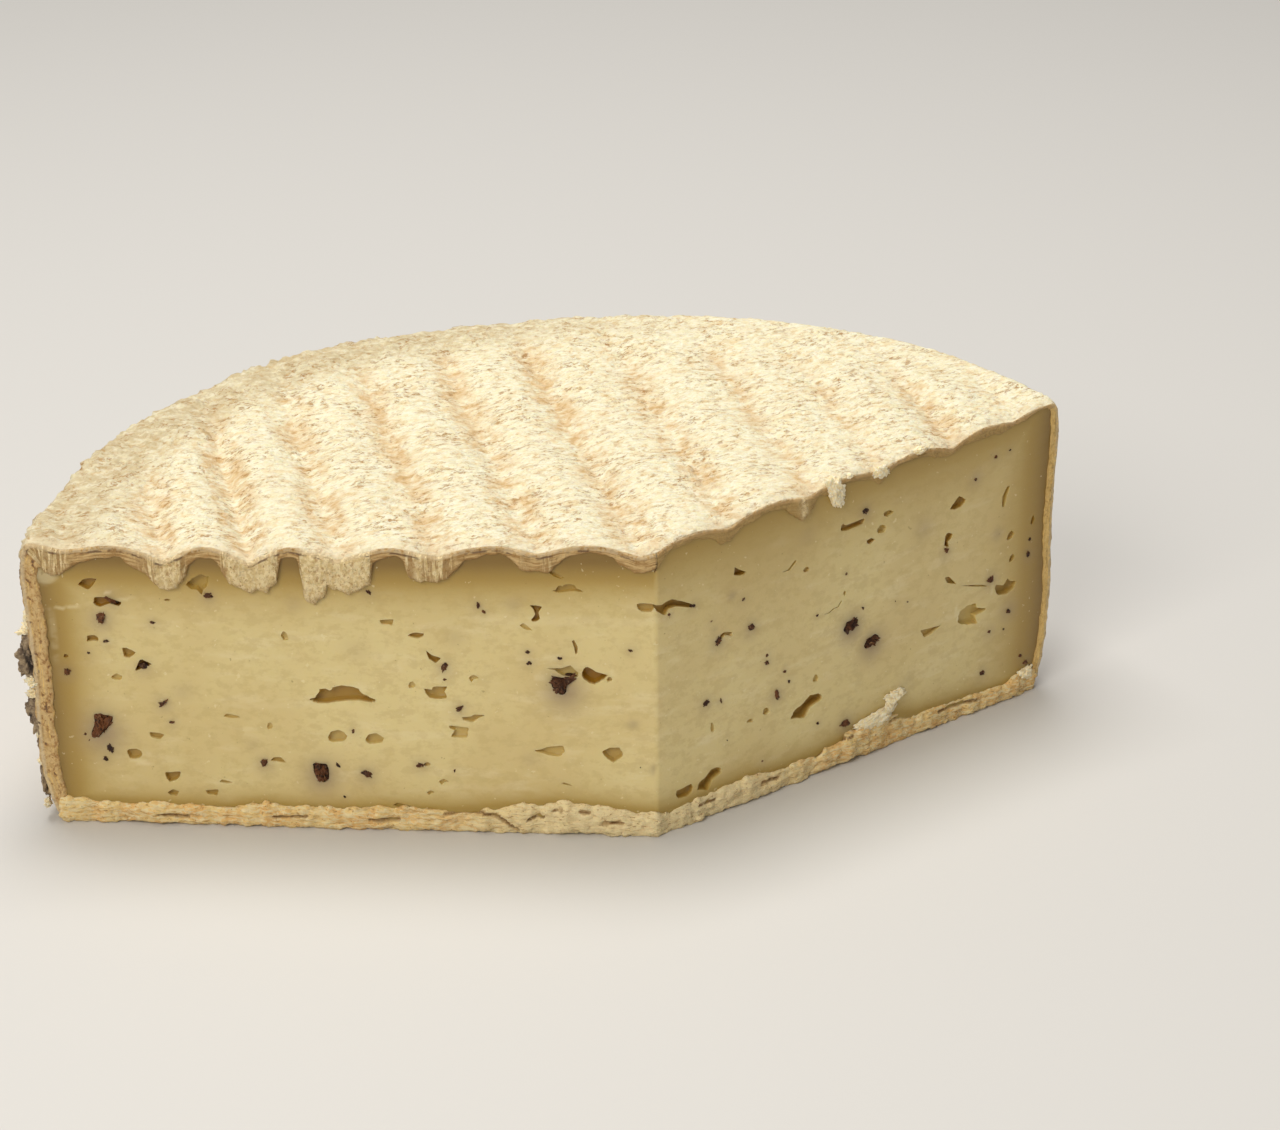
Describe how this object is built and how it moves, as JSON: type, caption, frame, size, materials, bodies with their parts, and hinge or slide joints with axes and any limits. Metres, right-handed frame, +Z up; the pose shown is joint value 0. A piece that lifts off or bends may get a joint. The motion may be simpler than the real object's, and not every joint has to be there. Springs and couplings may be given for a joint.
{
  "type": "juniper sheep cheese wedge",
  "caption": "Large wedge cut from a round sheep cheese, with juniper in the paste, a crumbling natural rind and a ridged top, standing on its flat base.",
  "frame": {"origin": "middle of the box round the piece, at the height of the base it stands on", "axes": "+Z up; the corner where the two cuts meet points to -Y, and the rim curves round the +Y side from -X to +X"},
  "size_m": [0.2589, 0.1532, 0.081],
  "materials": {
    "cheese": "pale yellow waxy paste inside a dry, chalky, cream-coloured rind",
    "juniper": "dull dark brown, wrinkled"
  },
  "bodies": {
    "root": {"cheese_wedge": "cheese", "juniper_berry_1": "juniper", "juniper_berry_2": "juniper", "juniper_berry_3": "juniper", "juniper_berry_4": "juniper", "juniper_berry_5": "juniper"}
  },
  "joints": []
}
